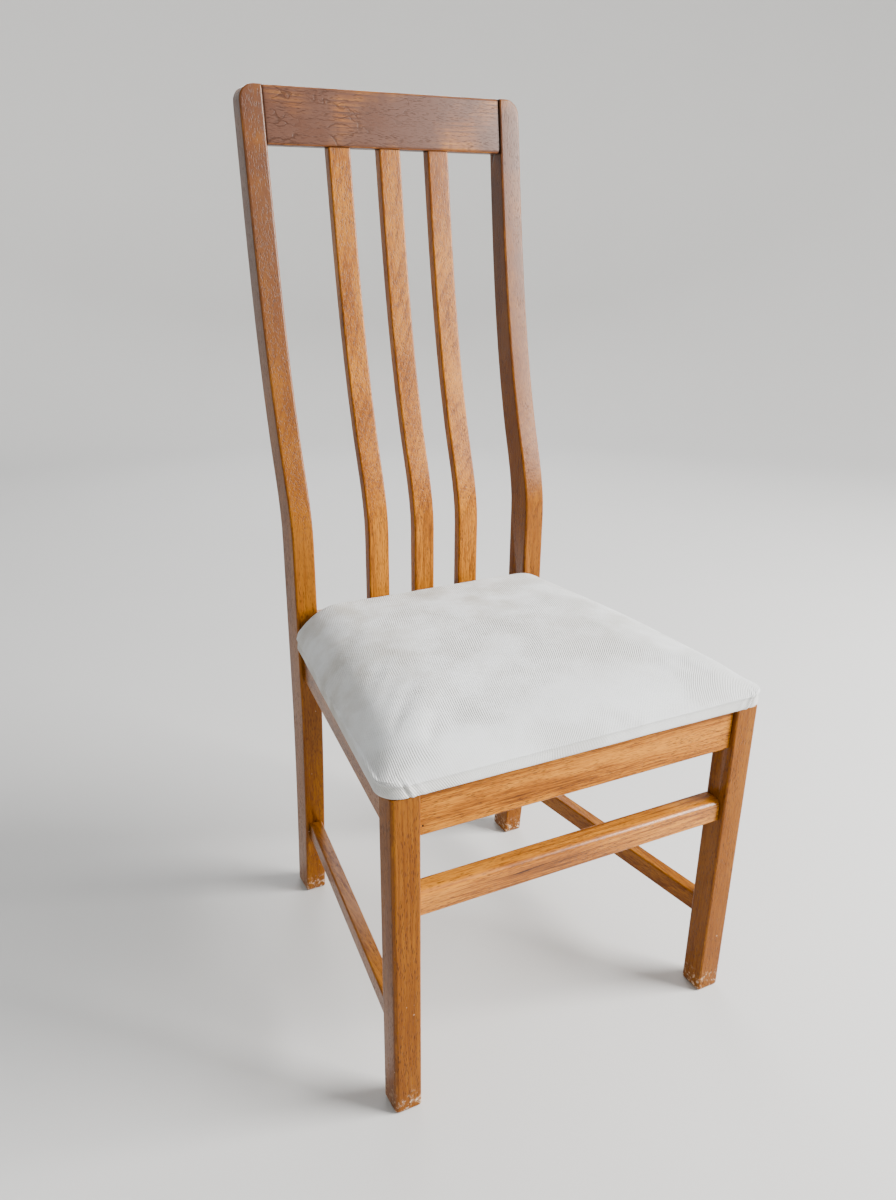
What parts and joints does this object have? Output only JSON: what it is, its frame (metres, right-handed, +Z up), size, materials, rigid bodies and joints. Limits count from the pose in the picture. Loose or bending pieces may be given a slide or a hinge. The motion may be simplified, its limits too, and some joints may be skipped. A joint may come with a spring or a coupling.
{
  "type": "dining chair",
  "caption": "Armless wooden dining chair with a tall slatted back, square legs joined by stretchers and a loose upholstered seat pad in pale cloth.",
  "frame": {"origin": "on the floor, midway between the left and right legs and midway between the seat pad's front edge and the rear of the back's top", "axes": "+Z up from the floor, -Y towards the front of the chair, +X to the right of someone facing the chair's front"},
  "size_m": [0.48, 0.5298, 1.063],
  "materials": {
    "frame_wood": "stained hardwood under worn satin varnish",
    "block_wood": "bare sawn beech",
    "plywood": "bare birch plywood",
    "foam": "open-cell upholstery foam",
    "cloth": "ribbed pale woven upholstery cloth, lightly stained",
    "zinc": "zinc-plated steel"
  },
  "bodies": {
    "root": {"block_screw_rail_front_left": "zinc", "block_screw_rail_front_right": "zinc", "block_screw_rail_rear_left": "zinc", "block_screw_rail_rear_right": "zinc", "block_screw_side_front_left": "zinc", "block_screw_side_front_right": "zinc", "block_screw_side_rear_left": "zinc", "block_screw_side_rear_right": "zinc", "corner_block_front_left": "block_wood", "corner_block_front_right": "block_wood", "corner_block_rear_left": "block_wood", "corner_block_rear_right": "block_wood", "crest_dowel_lower_left": "block_wood", "crest_dowel_lower_right": "block_wood", "crest_dowel_upper_left": "block_wood", "crest_dowel_upper_right": "block_wood", "crest_rail": "frame_wood", "front_leg_left": "frame_wood", "front_leg_right": "frame_wood", "front_rail": "frame_wood", "front_stretcher": "frame_wood", "rear_post_left": "frame_wood", "rear_post_right": "frame_wood", "rear_rail": "frame_wood", "seat_board": "plywood", "seat_cover": "cloth", "seat_foam": "foam", "seat_screw_front_left": "zinc", "seat_screw_front_right": "zinc", "seat_screw_rear_left": "zinc", "seat_screw_rear_right": "zinc", "side_rail_left": "frame_wood", "side_rail_right": "frame_wood", "side_stretcher_left": "frame_wood", "side_stretcher_right": "frame_wood", "slat_left": "frame_wood", "slat_middle": "frame_wood", "slat_right": "frame_wood"}
  },
  "joints": []
}
